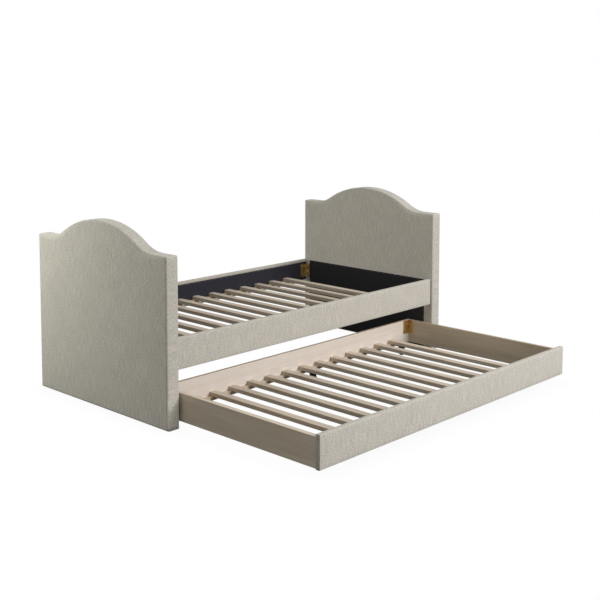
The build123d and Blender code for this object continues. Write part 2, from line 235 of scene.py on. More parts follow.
def wrapped_slab(rim, low, rows, depth, radii, swell, seam, back_depth=None):
    """A closed padded slab, as (across, up, depth) rows with UVs in metres of cloth.
    rim(inset) gives its top edge, low its bottom, rows the shares of its height, radii the
    rounding of the front and back edges. swell(across, up, front) pushes a face out. Where
    seam is true, both edges carry a sunk line of stitching with close steps around it."""
    columns = len(rim(0.0))
    last_row, last_column = len(rows) - 1, columns - 1
    border = [(0, j) for j in range(columns)]
    border += [(i, last_column) for i in range(1, last_row + 1)]
    border += [(last_row, j) for j in range(last_column - 1, -1, -1)]
    border += [(i, 0) for i in range(last_row - 1, 0, -1)]

    def spread(inset):
        tops = rim(inset)
        bottom = low + inset
        across = np.repeat(tops[None, :, 0], len(rows), axis=0)
        up = bottom + np.array(rows)[:, None] * (tops[None, :, 1] - bottom)
        return across, up

    verts, faces, uvs = [], [], []

    def add_face_grid(radius, at, front):
        start = len(verts)
        across, up = spread(radius)
        for i in range(len(rows)):
            for j in range(columns):
                a, b = across[i, j], up[i, j]
                push = swell(a, b, front)
                c = at - push if front else at + push
                if not front and back_depth is not None:
                    c = back_depth(a, b)
                verts.append((a, b, c))
        for i in range(last_row):
            for j in range(last_column):
                k = start + i * columns + j
                face = (k, k + 1, k + columns + 1, k + columns)
                faces.append(face)
                uvs.append([verts[n][:2] for n in face])
        return [start + i * columns + j for i, j in border]

    rings = [add_face_grid(radii[0], 0.0, True)]
    stations = []
    for radius, side in ((radii[0], 1), (radii[1], -1)):
        degrees = [6, 12, 18, 32, 46, 60, 75, 90] if seam else [15, 30, 45, 60, 75, 90]
        arcs = []
        for k, angle in enumerate(np.radians(degrees)):
            sunk = seam_depth if seam and k == 1 else 0.0
            inset = radius - (radius - sunk) * math.sin(angle)
            along = radius - (radius - sunk) * math.cos(angle)
            arcs.append((inset, along if side > 0 else depth - along))
        stations.append(arcs)
    body = np.linspace(stations[0][-1][1], stations[1][-1][1], 5)[1:-1]
    order = stations[0] + [(0.0, c) for c in body] + stations[1][::-1]
    for inset, c in order:
        across, up = spread(inset)
        rings.append(list(range(len(verts), len(verts) + len(border))))
        verts.extend((across[i, j], up[i, j], c) for i, j in border)
    rings.append(add_face_grid(radii[1], depth, False))

    flat = np.array([verts[n] for n in rings[len(rings) // 2]])
    gaps = np.linalg.norm(np.diff(np.vstack([flat, flat[:1]]), axis=0), axis=1)
    round_about = np.concatenate([[0.0], np.cumsum(gaps)])
    through = [0.0]
    for one, two in zip(rings[:-1], rings[1:]):
        through.append(through[-1] + np.linalg.norm(np.array(verts[one[5]]) - np.array(verts[two[5]])))
    for k, (one, two) in enumerate(zip(rings[:-1], rings[1:])):
        for n in range(len(border)):
            m = (n + 1) % len(border)
            faces.append((one[n], two[n], two[m], one[m]))
            uvs.append(
                [
                    (round_about[n], through[k]),
                    (round_about[n], through[k + 1]),
                    (round_about[n + 1], through[k + 1]),
                    (round_about[n + 1], through[k]),
                ]
            )
    return np.array(verts), faces, uvs


def face_outwards(mesh):
    """Turns every face of a closed mesh to the outside."""
    shell = bmesh.new()
    shell.from_mesh(mesh)
    bmesh.ops.recalc_face_normals(shell, faces=shell.faces)
    shell.to_mesh(mesh)
    shell.free()


def cloth_object(name, points, faces, uvs, material):
    """A mesh object with a UV map named weave, its faces turned outwards and shaded smooth."""
    mesh = bpy.data.meshes.new(name)
    mesh.from_pydata([tuple(p) for p in points], [], faces)
    weave = mesh.uv_layers.new(name="weave")
    weave.data.foreach_set("uv", [x for face in uvs for corner in face for x in corner])
    mesh.materials.append(material)
    face_outwards(mesh)
    mesh.shade_smooth()
    made = bpy.data.objects.new(name, mesh)
    bpy.context.scene.collection.objects.link(made)
    return made


# Polyester cloth woven to look like linen: greige, matt with a faint sheen, and uneven
# yarns. The yarns are 0.9 mm apart and slubs about 1.5 mm thick; both are drawn coarser,
# at 2.4 mm and 4.4 mm, so that they show. Slubs run long down the warp, short in the weft.
yarn_spacing = 0.0024
slub_thickness = 0.0044
weft_slub_length = 0.013
warp_slub_length = 0.075
linen, tree, linen_shader = new_finish("woven_linen_look_polyester")
cloth_place = add_node(tree, "ShaderNodeUVMap", {"uv_map": "weave"}).outputs[0]
slubs = []
for scale in (
    (1 / weft_slub_length, 1 / slub_thickness, 1.0),
    (1 / slub_thickness, 1 / warp_slub_length, 1.0),
):
    stretched = add_node(tree, "ShaderNodeMapping", None, {"Vector": cloth_place, "Scale": scale})
    slubs.append(
        add_node(
            tree,
            "ShaderNodeTexNoise",
            None,
            {"Vector": stretched.outputs[0], "Scale": 1.0, "Detail": 3.0, "Roughness": 0.65},
        ).outputs[0]
    )
both_slubs = add_node(
    tree, "ShaderNodeMix", {"data_type": "FLOAT"}, {0: 0.4, 2: slubs[0], 3: slubs[1]}
).outputs[0]
yarns = []
for direction in ("X", "Y"):
    yarns.append(
        add_node(
            tree,
            "ShaderNodeTexWave",
            {"wave_type": "BANDS", "bands_direction": direction},
            {
                "Vector": cloth_place,
                "Scale": math.pi / (10 * 2 * yarn_spacing),
                "Distortion": 1.2,
                "Detail": 1.0,
            },
        ).outputs["Fac"]
    )
over_under = add_node(
    tree, "ShaderNodeMath", {"operation": "MULTIPLY"}, {0: yarns[0], 1: yarns[1]}
).outputs[0]
clouds = add_node(
    tree,
    "ShaderNodeTexNoise",
    None,
    {"Vector": cloth_place, "Scale": 7.0, "Detail": 2.0},
).outputs[0]
yarn_tone = add_node(
    tree,
    "ShaderNodeMapRange",
    None,
    {"Value": both_slubs, "From Min": 0.40, "From Max": 0.60},
).outputs[0]
yarn_colour = add_node(
    tree,
    "ShaderNodeMix",
    {"data_type": "RGBA"},
    {0: yarn_tone, 6: linear("#B0ABA0"), 7: linear("#D3CEC3")},
).outputs[2]
# Painted shade: the colour is darkened in the hollows between crossing yarns, on top of the bump's own
# shading. The clouds below are random tone.
painted_hollow_shade = add_node(
    tree,
    "ShaderNodeMapRange",
    None,
    {"Value": over_under, "To Min": 0.90, "To Max": 1.06},
).outputs[0]
cloud_tone = add_node(
    tree,
    "ShaderNodeMapRange",
    None,
    {"Value": clouds, "From Min": 0.3, "From Max": 0.7, "To Min": 0.97, "To Max": 1.03},
).outputs[0]
shade = add_node(
    tree, "ShaderNodeMath", {"operation": "MULTIPLY"}, {0: painted_hollow_shade, 1: cloud_tone}
).outputs[0]
linen_colour = add_node(
    tree, "ShaderNodeVectorMath", {"operation": "SCALE"}, {0: yarn_colour, "Scale": shade}
).outputs[0]
tree.links.new(linen_colour, linen_shader.inputs["Base Color"])
cloth_height = add_node(
    tree,
    "ShaderNodeMath",
    {"operation": "ADD"},
    {0: over_under, 1: both_slubs},
).outputs[0]
cloth_relief = add_node(
    tree,
    "ShaderNodeBump",
    None,
    {"Strength": 0.4, "Distance": 0.0006, "Height": cloth_height},
).outputs[0]
tree.links.new(cloth_relief, linen_shader.inputs["Normal"])
linen_shader.inputs["Roughness"].default_value = 0.92
linen_shader.inputs["Specular IOR Level"].default_value = 0.25
linen_shader.inputs["Sheen Weight"].default_value = 0.12
linen_shader.inputs["Sheen Roughness"].default_value = 0.5

end_rows = np.linspace(0, 1, 45)
for side, sign in (("left", -1), ("right", 1)):
    low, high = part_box(f"{side}_end_upholstery")
    end_half_width = (high.y - low.y) / 2
    end_top = high.z
    middle_y = (low.y + high.y) / 2
    depth = high.x - low.x

    def end_face_swell(across, up, front):
        """Foam stands proud away from the edges, and on the bed side only above the rails."""
        start = low.z if front else rail_joint_top
        to_side = (end_half_width - abs(across)) / end_swell_run
        to_top = (end_top - shoulder_drop + crown_swell_start - up) / crown_swell_run
        to_low = (up - start) / end_swell_run
        edge = min(1.0, max(0.0, to_side)) * min(1.0, max(0.0, to_top)) * min(1.0, max(0.0, to_low))
        waver = noise.noise(Vector((across * 7, up * 7, 3.0 * sign))) * cloth_waver
        return edge * edge * (3 - 2 * edge) * (end_swell + waver)

    points, faces, uvs = wrapped_slab(
        camelback_rim,
        low.z,
        end_rows,
        depth,
        (end_edge_radius, end_edge_radius),
        end_face_swell,
        seam=True,
    )
    outer_x = low.x if sign < 0 else high.x
    placed = np.column_stack([outer_x - sign * points[:, 2], middle_y + points[:, 0], points[:, 1]])
    cover = cloth_object(f"{side}_end_cloth", placed, faces, uvs, linen)
    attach(cover, "bed_frame")
    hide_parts(f"{side}_end_upholstery")


# --- Dust covers on the end panels --------------------------------------------------
# Black non-woven cloth over the inner face below the deck, its edge folded under and
# stapled through. The stapled strip stands a little proud of the rest.
sheet_gauge = 0.0004
single_layer_share = 0.55
sheet_ripple = 0.00012
sheet_off_wood = 0.00025
sheet_grid = 0.02
full_hem_room = 0.001
hem_width = 0.012
hem_slope = 0.0015


def stapled_sheet(name, node, normal_axis, outward, material):
    """A thin closed sheet in a node's box, lying on its inner side, with a folded hem."""
    low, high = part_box(node)
    length_axis = 1 if normal_axis == 0 else 0
    width = high[length_axis] - low[length_axis]
    height = high.z - low.z
    back = low[normal_axis] if outward > 0 else high[normal_axis]
    room = high[normal_axis] - low[normal_axis]

    def stops(size):
        start = hem_width + hem_slope
        inner = np.linspace(start, size - start, max(4, round(size / sheet_grid)))
        return np.concatenate([[0.0, hem_width], inner, [size - hem_width, size]])

    us, vs = stops(width), stops(height)
    base = back + outward * sheet_off_wood
    gauge = sheet_gauge * min(1.0, room / full_hem_room)
    verts, faces, uvs = [], [], []
    for layer in (0, 1):
        for j, v in enumerate(vs):
            for i, u in enumerate(us):
                hem = min(u, width - u, v, height - v) <= hem_width + 1e-6
                wave = 1 + noise.noise(Vector((u * 18, v * 18, back * 9)))
                lift = gauge if hem else gauge * single_layer_share + sheet_ripple * wave
                out = base + outward * (lift if layer else 0.0)
                spot = [0.0, 0.0, low.z + v]
                spot[normal_axis] = out
                spot[length_axis] = low[length_axis] + u
                verts.append(spot)
    columns, rows = len(us), len(vs)
    for layer in (0, 1):
        for j in range(rows - 1):
            for i in range(columns - 1):
                k = layer * rows * columns + j * columns + i
                faces.append((k, k + 1, k + columns + 1, k + columns))
    rim = [i for i in range(columns)]
    rim += [j * columns + columns - 1 for j in range(1, rows)]
    rim += [(rows - 1) * columns + i for i in range(columns - 2, -1, -1)]
    rim += [j * columns for j in range(rows - 2, 0, -1)]
    for n, one in enumerate(rim):
        two = rim[(n + 1) % len(rim)]
        faces.append((one, two, two + rows * columns, one + rows * columns))
    for face in faces:
        uvs.append([(verts[n][length_axis], verts[n][2]) for n in face])
    return cloth_object(name, np.array(verts), faces, uvs, material)


def nonwoven(name, code, dot_spacing, roughness):
    """Black felted cloth with a pattern of small pressed dots."""
    felt, tree, shader = new_finish(name)
    place = add_node(tree, "ShaderNodeUVMap", {"uv_map": "weave"}).outputs[0]
    fibres = add_node(
        tree,
        "ShaderNodeTexNoise",
        None,
        {"Vector": place, "Scale": 220.0, "Detail": 4.0, "Roughness": 0.7},
    ).outputs[0]
    dots = add_node(
        tree, "ShaderNodeTexVoronoi", None, {"Vector": place, "Scale": 1 / dot_spacing, "Randomness": 0.0}
    ).outputs[0]
    tone = add_node(
        tree,
        "ShaderNodeMapRange",
        None,
        {"Value": fibres, "From Min": 0.3, "From Max": 0.7, "To Min": 0.75, "To Max": 1.3},
    ).outputs[0]
    colour = add_node(
        tree, "ShaderNodeVectorMath", {"operation": "SCALE"}, {0: linear(code)[:3], "Scale": tone}
    ).outputs[0]
    tree.links.new(colour, shader.inputs["Base Color"])
    height = add_node(tree, "ShaderNodeMath", {"operation": "ADD"}, {0: fibres, 1: dots}).outputs[0]
    relief = add_node(
        tree, "ShaderNodeBump", None, {"Strength": 0.5, "Distance": 0.0004, "Height": height}
    ).outputs[0]
    tree.links.new(relief, shader.inputs["Normal"])
    shader.inputs["Roughness"].default_value = roughness
    shader.inputs["Specular IOR Level"].default_value = 0.2
    return felt


# Spunbond polypropylene, pressed with dots about 2 mm apart: soft black, hardly shiny
dust_cloth = nonwoven("spunbond_polypropylene", "#343437", 0.002, 0.85)
for side, sign in (("left", -1), ("right", 1)):
    node = f"{side}_end_dust_cover"
    low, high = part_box(node)
    sheet = stapled_sheet(f"{side}_end_dust_cloth", node, 0, -sign, dust_cloth)
    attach(sheet, "bed_frame")
    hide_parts(node)


# --- Floor glides ---------------------------------------------------------------------
# Buttons nailed under the end panels, so that the cloth clears the floor. They are packed
# solids, in moulded polypropylene: dark, with a fine even grain and a dull shine.


def moulded(name, code, grit, roughness):
    """Moulded plastic with a fine spark-eroded surface."""
    plastic, tree, shader = new_finish(name)
    place = add_node(tree, "ShaderNodeTexCoord").outputs["Object"]
    grains = add_node(
        tree, "ShaderNodeTexNoise", None, {"Vector": place, "Scale": 1 / grit, "Detail": 2.0}
    ).outputs[0]
    tone = add_node(
        tree,
        "ShaderNodeMapRange",
        None,
        {"Value": grains, "From Min": 0.3, "From Max": 0.7, "To Min": 0.85, "To Max": 1.1},
    ).outputs[0]
    colour = add_node(
        tree, "ShaderNodeVectorMath", {"operation": "SCALE"}, {0: linear(code)[:3], "Scale": tone}
    ).outputs[0]
    tree.links.new(colour, shader.inputs["Base Color"])
    relief = add_node(
        tree, "ShaderNodeBump", None, {"Strength": 0.2, "Distance": 0.0001, "Height": grains}
    ).outputs[0]
    tree.links.new(relief, shader.inputs["Normal"])
    shader.inputs["Roughness"].default_value = roughness
    return plastic


finish_nodes(moulded("moulded_polypropylene", "#2A2927", 0.0008, 0.5), "floor_glides")


# --- Rails of the bed and front of the trundle ------------------------------------------
# A board wrapped in foam and the same cloth, which is folded over every edge and stapled
# behind. A black lining covers the raw edges, inside a margin of cloth that is wider above
# and below than at the ends.
panel_edge_radius = 0.0035
panel_back_radius = 0.002
panel_corner_radius = 0.0015
cloth_margin = 0.016
end_margin = 0.004
lining_recess = 0.0016
panel_swell = 0.0012
panel_swell_run = 0.05
recess_slope = 0.0008


def panel_stops(size, rounding, margin, count):
    """Shares of a panel's size inside its rounding, close together at the edge of the lining."""
    flat = size - 2 * rounding
    edge = (margin - rounding) / flat
    step = edge + recess_slope / flat
    return np.concatenate([[0.0, edge], np.linspace(step, 1 - step, count), [1 - edge, 1.0]])


def build_rail_cloth(name, node, inward, body):
    """Wraps one rail or front. inward is the sign of Y from its face towards its lining."""
    low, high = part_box(node)
    half = (high.x - low.x) / 2
    middle_x = (low.x + high.x) / 2
    depth = high.y - low.y
    rounding = panel_back_radius + panel_corner_radius
    column_shares = panel_stops(high.x - low.x, rounding, end_margin, 99)

    def rim(inset):
        flat_half = half - inset - panel_corner_radius
        bend = []
        for angle in np.linspace(0, math.pi / 2, 4)[:-1]:
            out, up = math.cos(angle), math.sin(angle)
            drop = panel_corner_radius * (1 - up)
            bend.append((flat_half + panel_corner_radius * out, high.z - inset - drop))
        top = [(flat_half * (2 * share - 1), high.z - inset) for share in column_shares]
        return np.array([(-across, up) for across, up in bend] + top + bend[::-1])

    def swell(across, up, front):
        if not front:
            return 0.0
        share = (up - low.z) / (high.z - low.z) * 2 - 1
        crown = max(0.0, 1 - share**4) * min(1.0, (half - abs(across)) / panel_swell_run)
        waver = noise.noise(Vector((across * 9, up * 12, high.y * 5))) * cloth_waver
        return max(0.0, crown) * (panel_swell + waver)

    def back_depth(across, up):
        from_edges = min(up - low.z, high.z - up) - cloth_margin
        inside = min(from_edges, half - abs(across) - end_margin)
        return depth - (lining_recess if inside > recess_slope / 2 else 0.0)

    points, faces, uvs = wrapped_slab(
        rim,
        low.z,
        panel_stops(high.z - low.z, panel_back_radius, cloth_margin, 11),
        depth,
        (panel_edge_radius, panel_back_radius),
        swell,
        seam=False,
        back_depth=back_depth,
    )
    face_y = low.y if inward > 0 else high.y
    placed = np.column_stack([middle_x + points[:, 0], face_y + inward * points[:, 2], points[:, 1]])
    cover = cloth_object(name, placed, faces, uvs, linen)
    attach(cover, body)
    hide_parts(node)


# Close-woven cotton lining, dyed blue-black: darker and flatter than the dust cloth
lining_cloth = nonwoven("dyed_cotton_lining", "#2C2C33", 0.003, 0.9)
for part, inward, body in (
    ("front_rail", 1, "bed_frame"),
    ("rear_rail", -1, "bed_frame"),
    ("trundle_front", 1, "trundle"),
):
    build_rail_cloth(f"{part}_cloth", f"{part}_upholstery", inward, body)
    low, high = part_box(f"{part}_lining")
    lining = stapled_sheet(f"{part}_black_lining", f"{part}_lining", 1, inward, lining_cloth)
    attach(lining, body)
    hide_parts(f"{part}_lining")


# --- Staples ---------------------------------------------------------------------------
# Galvanised wire staples, shot through the folded hems of the dust covers and linings
# into the timber. Only their crowns show, in a row along the middle of each hem.
staple_spacing = 0.045
staple_crown = 0.011
staple_leg = 0.006
staple_wire = 0.0011
staple_sink = 0.0003


def geometry_tree(name, inputs):
    """A new modifier tree with a geometry input and output, and the named inputs given."""
    tree = bpy.data.node_groups.new(name, "GeometryNodeTree")
    tree.interface.new_socket("Geometry", in_out="INPUT", socket_type="NodeSocketGeometry")
    for label, kind in inputs:
        tree.interface.new_socket(label, in_out="INPUT", socket_type=kind)
    tree.interface.new_socket("Geometry", in_out="OUTPUT", socket_type="NodeSocketGeometry")
    return tree, add_node(tree, "NodeGroupInput").outputs


def grown_mesh(tree, points, edges, facings, values):
    """The plain mesh that a tree makes from points that each face a way."""
    seed_mesh = bpy.data.meshes.new("seed")
    seed_mesh.from_pydata([tuple(p) for p in points], edges, [])
    facing = seed_mesh.attributes.new("facing", "FLOAT_VECTOR", "POINT")
    facing.data.foreach_set("vector", [x for way in facings for x in way])
    holder = bpy.data.objects.new("seed", seed_mesh)
    bpy.context.scene.collection.objects.link(holder)
    modifier = holder.modifiers.new("grow", "NODES")
    modifier.node_group = tree
    for item in tree.interface.items_tree:
        if item.in_out == "INPUT" and item.name in values:
            modifier[item.identifier] = values[item.name]
    evaluated = holder.evaluated_get(bpy.context.evaluated_depsgraph_get())
    made = bpy.data.meshes.new_from_object(evaluated)
    bpy.data.objects.remove(holder)
    return made


def joined_object(name, meshes, material):
    """One object of several meshes, all in one finish."""
    shell = bmesh.new()
    for mesh in meshes:
        shell.from_mesh(mesh)
    whole = bpy.data.meshes.new(name)
    shell.to_mesh(whole)
    shell.free()
    whole.materials.clear()
    whole.materials.append(material)
    whole.polygons.foreach_set("material_index", [0] * len(whole.polygons))
    made = bpy.data.objects.new(name, whole)
    bpy.context.scene.collection.objects.link(made)
    return made


staple_row, row_inputs = geometry_tree(
    "row_of_staples",
    (
        ("Spacing", "NodeSocketFloat"),
        ("Crown", "NodeSocketFloat"),
        ("Leg", "NodeSocketFloat"),
        ("Wire", "NodeSocketFloat"),
        ("Finish", "NodeSocketMaterial"),
    ),
)
hem_line = add_node(staple_row, "GeometryNodeMeshToCurve", None, {0: row_inputs["Geometry"]})
stitches = add_node(
    staple_row,
    "GeometryNodeResampleCurve",
    {"mode": "LENGTH"},
    {"Curve": hem_line.outputs[0], "Length": row_inputs["Spacing"]},
)
outward = add_node(
    staple_row, "GeometryNodeInputNamedAttribute", {"data_type": "FLOAT_VECTOR"}, {"Name": "facing"}
)
along_hem = add_node(staple_row, "GeometryNodeInputTangent")
stood = add_node(
    staple_row,
    "FunctionNodeAlignRotationToVector",
    {"axis": "Z"},
    {"Vector": outward.outputs["Attribute"]},
)
turned = add_node(
    staple_row,
    "FunctionNodeAlignRotationToVector",
    {"axis": "X", "pivot_axis": "Z"},
    {"Rotation": stood.outputs[0], "Vector": along_hem.outputs[0]},
)
bent_wire = add_node(
    staple_row,
    "GeometryNodeCurvePrimitiveQuadrilateral",
    None,
    {"Width": row_inputs["Crown"], "Height": row_inputs["Leg"]},
)
wire_bends = add_node(
    staple_row,
    "GeometryNodeFilletCurve",
    {"mode": "POLY"},
    {"Curve": bent_wire.outputs[0], "Radius": row_inputs["Wire"], "Count": 2},
)
wire_section = add_node(
    staple_row, "GeometryNodeCurvePrimitiveCircle", None, {"Resolution": 6, "Radius": row_inputs["Wire"]}
)
thin_section = add_node(
    staple_row,
    "GeometryNodeTransform",
    None,
    {"Geometry": wire_section.outputs[0], "Scale": (0.5, 0.5, 0.5)},
)
one_staple = add_node(
    staple_row,
    "GeometryNodeCurveToMesh",
    None,
    {"Curve": wire_bends.outputs[0], "Profile Curve": thin_section.outputs[0]},
)
sunk_depth = add_node(
    staple_row, "ShaderNodeMath", {"operation": "MULTIPLY"}, {0: row_inputs["Leg"], 1: -0.5}
)
sunk_place = add_node(staple_row, "ShaderNodeCombineXYZ", None, {"Z": sunk_depth.outputs[0]})
driven_staple = add_node(
    staple_row,
    "GeometryNodeTransform",
    None,
    {
        "Geometry": one_staple.outputs[0],
        "Translation": sunk_place.outputs[0],
        "Rotation": (math.pi / 2, 0.0, 0.0),
    },
)
placed_staples = add_node(
    staple_row,
    "GeometryNodeInstanceOnPoints",
    None,
    {
        "Points": stitches.outputs[0],
        "Instance": driven_staple.outputs[0],
        "Rotation": turned.outputs[0],
    },
)
real_staples = add_node(staple_row, "GeometryNodeRealizeInstances", None, {0: placed_staples.outputs[0]})
plated_staples = add_node(
    staple_row,
    "GeometryNodeSetMaterial",
    None,
    {"Geometry": real_staples.outputs[0], "Material": row_inputs["Finish"]},
)
add_node(staple_row, "NodeGroupOutput", None, {0: plated_staples.outputs[0]})


def plated_steel(name, pale, dark, blotch, roughness):
    """Zinc-plated steel, passivated, with an uneven bloom."""
    steel, tree, shader = new_finish(name)
    place = add_node(tree, "ShaderNodeTexCoord").outputs["Object"]
    bloom = add_node(
        tree, "ShaderNodeTexNoise", None, {"Vector": place, "Scale": 1 / blotch, "Detail": 4.0}
    ).outputs[0]
    spread = add_node(
        tree, "ShaderNodeMapRange", None, {"Value": bloom, "From Min": 0.35, "From Max": 0.65}
    ).outputs[0]
    colour = add_node(
        tree,
        "ShaderNodeMix",
        {"data_type": "RGBA"},
        {0: spread, 6: linear(dark), 7: linear(pale)},
    ).outputs[2]
    tree.links.new(colour, shader.inputs["Base Color"])
    haze = add_node(
        tree,
        "ShaderNodeMapRange",
        None,
        {"Value": bloom, "To Min": roughness - 0.1, "To Max": roughness + 0.15},
    ).outputs[0]
    tree.links.new(haze, shader.inputs["Roughness"])
    shader.inputs["Metallic"].default_value = 1.0
    return steel


# Galvanised wire: dull grey, with a fine bloom
staple_steel = plated_steel("galvanised_wire", "#B9B8B4", "#8F8E8B", 0.004, 0.45)
middle_of_hem = hem_width / 2
hems = {
    "bed_frame": [
        ("left_end_dust_cover", 0, 1),
        ("right_end_dust_cover", 0, -1),
        ("front_rail_lining", 1, 1),
        ("rear_rail_lining", 1, -1),
    ],
    "trundle": [("trundle_front_lining", 1, 1)],
}
for body, covers in hems.items():
    points, edges, facings = [], [], []
    for node, normal_axis, sign in covers:
        low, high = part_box(node)
        length_axis = 1 - normal_axis
        surface = high[normal_axis] if sign > 0 else low[normal_axis]
        first = len(points)
        for at_far_end, at_top in ((0, 0), (1, 0), (1, 1), (0, 1)):
            spot = [0.0, 0.0, high.z - middle_of_hem if at_top else low.z + middle_of_hem]
            spot[normal_axis] = surface - sign * staple_sink
            ends = (low[length_axis] + middle_of_hem, high[length_axis] - middle_of_hem)
            spot[length_axis] = ends[at_far_end]
            points.append(spot)
            facings.append([sign if axis == normal_axis else 0 for axis in range(3)])
        edges += [(first + i, first + (i + 1) % 4) for i in range(4)]
    staple_mesh = grown_mesh(
        staple_row,
        points,
        edges,
        facings,
        {
            "Spacing": staple_spacing,
            "Crown": staple_crown,
            "Leg": staple_leg,
            "Wire": staple_wire,
            "Finish": staple_steel,
        },
    )
    staples = joined_object(f"{body}_staples", [staple_mesh], staple_steel)
    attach(staples, body)


# --- Slats, cleats and boards -------------------------------------------------------------
# Sawn and sanded softwood slats screwed down to cleats. The trundle's sides and back are
# boards faced with pale wood. The cut edges of the back and the right side are stained tan.
slat_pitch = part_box("bed_slat_02")[0].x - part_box("bed_slat_01")[0].x

# Spruce, sawn and sanded, with no lacquer: pale, greyed and matt, in streaks about 4 mm wide,
# and each slat a little lighter or darker than the next
slat_wood = timber(
    "sanded_spruce", "Y", "#DBCFC0", "#C3B29C", 0.004, 0.03, 0.62, piece_pitch=slat_pitch
)
cleat_wood = timber("planed_spruce", "X", "#E0D2C0", "#C6B299", 0.004, 0.03, 0.62)
finish_nodes(slat_wood, *[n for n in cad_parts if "_slat_" in n and "cleats" not in n])
finish_nodes(cleat_wood, "bed_slat_cleats", "trundle_slat_cleats")

# Oak veneer under matt lacquer: pale and even, in streaks about 5 mm wide, a little smoother
# than the slats
side_board_wood = timber("oak_faced_side_board", "Y", "#EADCC8", "#D5C5AF", 0.005, 0.05, 0.55)
finish_nodes(side_board_wood, "trundle_left_board")
# The right board is the same veneer as the left, painted darker as painted shade for its face in the
# shade inside the trundle. Its top edge carries a real tan stain.
shaded_side_wood_with_stained_edge = timber(
    "oak_faced_side_board_painted_shade_stained_edge",
    "Y",
    "#D9CBB5",
    "#C4B39A",
    0.005,
    0.05,
    0.55,
    edge_colour="#B4A288",
)
finish_nodes(shaded_side_wood_with_stained_edge, "trundle_right_board")
rear_board_wood = timber(
    "oak_faced_rear_board", "X", "#E2D9CE", "#D4C8BA", 0.005, 0.05, 0.55, edge_colour="#B9A792"
)
finish_nodes(rear_board_wood, "trundle_rear_board")


# --- Corner angles, bolts and screws --------------------------------------------------------
# Pressed steel angles join the rails to the ends and the trundle's boards to each other. The
# bed's are bolted through into the end cores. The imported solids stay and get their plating.

# Yellow passivated zinc: olive gold clouding to red brown over about 25 mm, and glossy
# enough to pick up the wood and the cloth around it
angle_steel = plated_steel("yellow_passivated_steel", "#DED28C", "#C8986A", 0.025, 0.42)
finish_nodes(angle_steel, "bed_corner_angles", "trundle_corner_angles")

# Bright zinc plate on cold-headed steel: pale grey, clouded about every 8 mm, fairly glossy
bolt_steel = plated_steel("zinc_plated_steel", "#C6C4BE", "#9C9993", 0.008, 0.35)
finish_nodes(bolt_steel, "bed_bolts")


# --- Screws -----------------------------------------------------------------------------------
# Crosshead wood screws, yellow plated. Pan heads hold the angles and the casters, and
# countersunk ones, flush with the wood, hold the slats. Each is turned as it came to rest.
screw_head_radius = 0.004
screw_head_height = 0.0024
screw_shank_radius = 0.002
countersunk_depth = 0.002


def screw_head(name, outline):
    """A head for a screw that points down, with a cross recess. outline is (radius, height)
    from the rim of the top to the shank. All sizes are in head radii."""
    sides = 16
    arm_at_top, web_at_top = 0.58, 0.2
    arm_at_floor, web_at_floor = 0.3, 0.14
    floor_depth, middle_depth = 0.42, 0.5
    recess_top = [arm_at_top if k % 4 == 0 else web_at_top for k in range(sides)]
    recess_floor = [arm_at_floor if k % 4 == 0 else web_at_floor for k in range(sides)]
    crown = outline[0][1]
    rings = [(recess_floor, crown - floor_depth), (recess_top, crown)]
    rings += [([radius] * sides, up) for radius, up in outline]
    verts = [(0.0, 0.0, crown - middle_depth)]
    for radii, up in rings:
        for k, radius in enumerate(radii):
            angle = 2 * math.pi * k / sides
            verts.append((radius * math.cos(angle), radius * math.sin(angle), up))
    faces = [(0, 1 + k, 1 + (k + 1) % sides) for k in range(sides)]
    for ring in range(len(rings) - 1):
        one, two = 1 + ring * sides, 1 + (ring + 1) * sides
        for k in range(sides):
            m = (k + 1) % sides
            faces.append((one + k, two + k, two + m, one + m))
    last = 1 + (len(rings) - 1) * sides
    faces.append(tuple(last + k for k in range(sides - 1, -1, -1)))
    mesh = bpy.data.meshes.new(name)
    mesh.from_pydata(verts, [], faces)
    face_outwards(mesh)
    return bpy.data.objects.new(name, mesh)


def fastener_seats(node):
    """Where each packed fastener's head ends, the way that it faces, and its length. The head
    is at the end that reaches further from the axis."""
    near_end = 1e-4
    loose = bmesh.new()
    loose.from_mesh(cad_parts[node].data)
    bmesh.ops.remove_doubles(loose, verts=loose.verts, dist=1e-5)
    loose.verts.index_update()
    seen, seats = set(), []
    for start in loose.verts:
        if start.index in seen:
            continue
        seen.add(start.index)
        island, to_visit = [start.co.copy()], [start]
        while to_visit:
            vert = to_visit.pop()
            for edge in vert.link_edges:
                other = edge.other_vert(vert)
                if other.index not in seen:
                    seen.add(other.index)
                    island.append(other.co.copy())
                    to_visit.append(other)
        points = np.array([tuple(p) for p in island])
        low, high = points.min(0), points.max(0)
        axis = int(np.argmax(high - low))
        middle = (low + high) / 2
        away = np.delete(points - middle, axis, axis=1)
        reach = np.linalg.norm(away, axis=1)
        at_high = reach[points[:, axis] > high[axis] - near_end].max()
        at_low = reach[points[:, axis] < low[axis] + near_end].max()
        facing = np.zeros(3)
        facing[axis] = 1.0 if at_high > at_low else -1.0
        end = middle.copy()
        end[axis] = high[axis] if at_high > at_low else low[axis]
        seats.append((end, facing, float(high[axis] - low[axis])))
    loose.free()
    return seats


